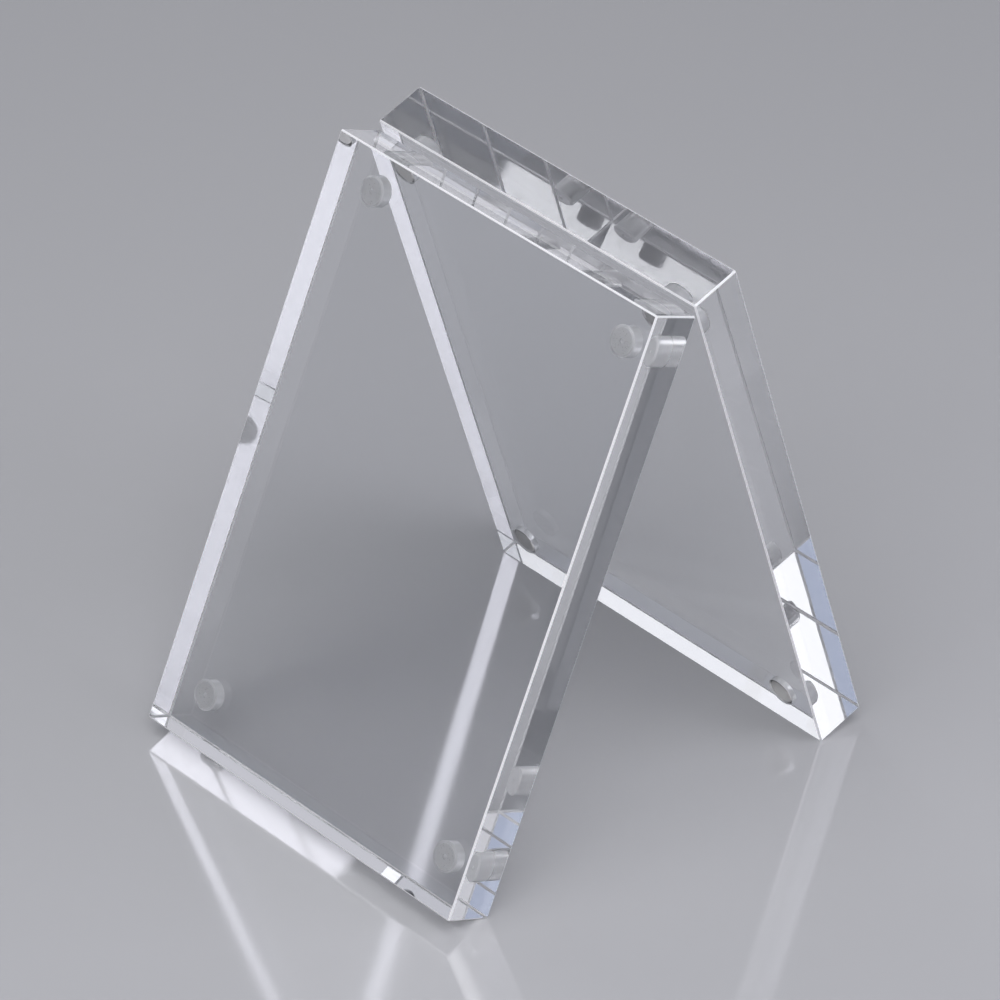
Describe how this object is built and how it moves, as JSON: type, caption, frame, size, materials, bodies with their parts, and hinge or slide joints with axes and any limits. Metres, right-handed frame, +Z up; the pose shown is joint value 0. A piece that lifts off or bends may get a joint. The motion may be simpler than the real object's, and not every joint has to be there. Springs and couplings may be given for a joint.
{
  "type": "acrylic block frame",
  "caption": "Clear acrylic photo block made of a front and a rear slab with corner magnets; the front slab swings shut on a print or open to stand as an A.",
  "frame": {"origin": "middle of the footprint, on the surface that the frame stands on", "axes": "+Z up, X along the width of the blocks, the front block on the -Y side"},
  "size_m": [0.063, 0.0786, 0.0873],
  "materials": {
    "clear_acrylic": "polished",
    "nickel_plating": "polished",
    "set_glue": "satin"
  },
  "bodies": {
    "rear": {"rear_block": "clear_acrylic", "rear_magnet_bottom_left": "nickel_plating", "rear_magnet_bottom_right": "nickel_plating", "rear_magnet_top_left": "nickel_plating", "rear_magnet_top_right": "nickel_plating", "rear_glue_bottom_left": "set_glue", "rear_glue_bottom_right": "set_glue", "rear_glue_top_left": "set_glue", "rear_glue_top_right": "set_glue"},
    "front": {"front_block": "clear_acrylic", "front_magnet_bottom_left": "nickel_plating", "front_magnet_bottom_right": "nickel_plating", "front_magnet_top_left": "nickel_plating", "front_magnet_top_right": "nickel_plating", "front_glue_bottom_left": "set_glue", "front_glue_bottom_right": "set_glue", "front_glue_top_left": "set_glue", "front_glue_top_right": "set_glue"}
  },
  "joints": [
    {"name": "front_block_swing", "type": "hinge", "parent": "rear", "child": "front", "pos_m": [0, 0.00226, 0.08276], "axis": [1, 0, 0], "range_deg": [-48.07, 41.92]}
  ]
}
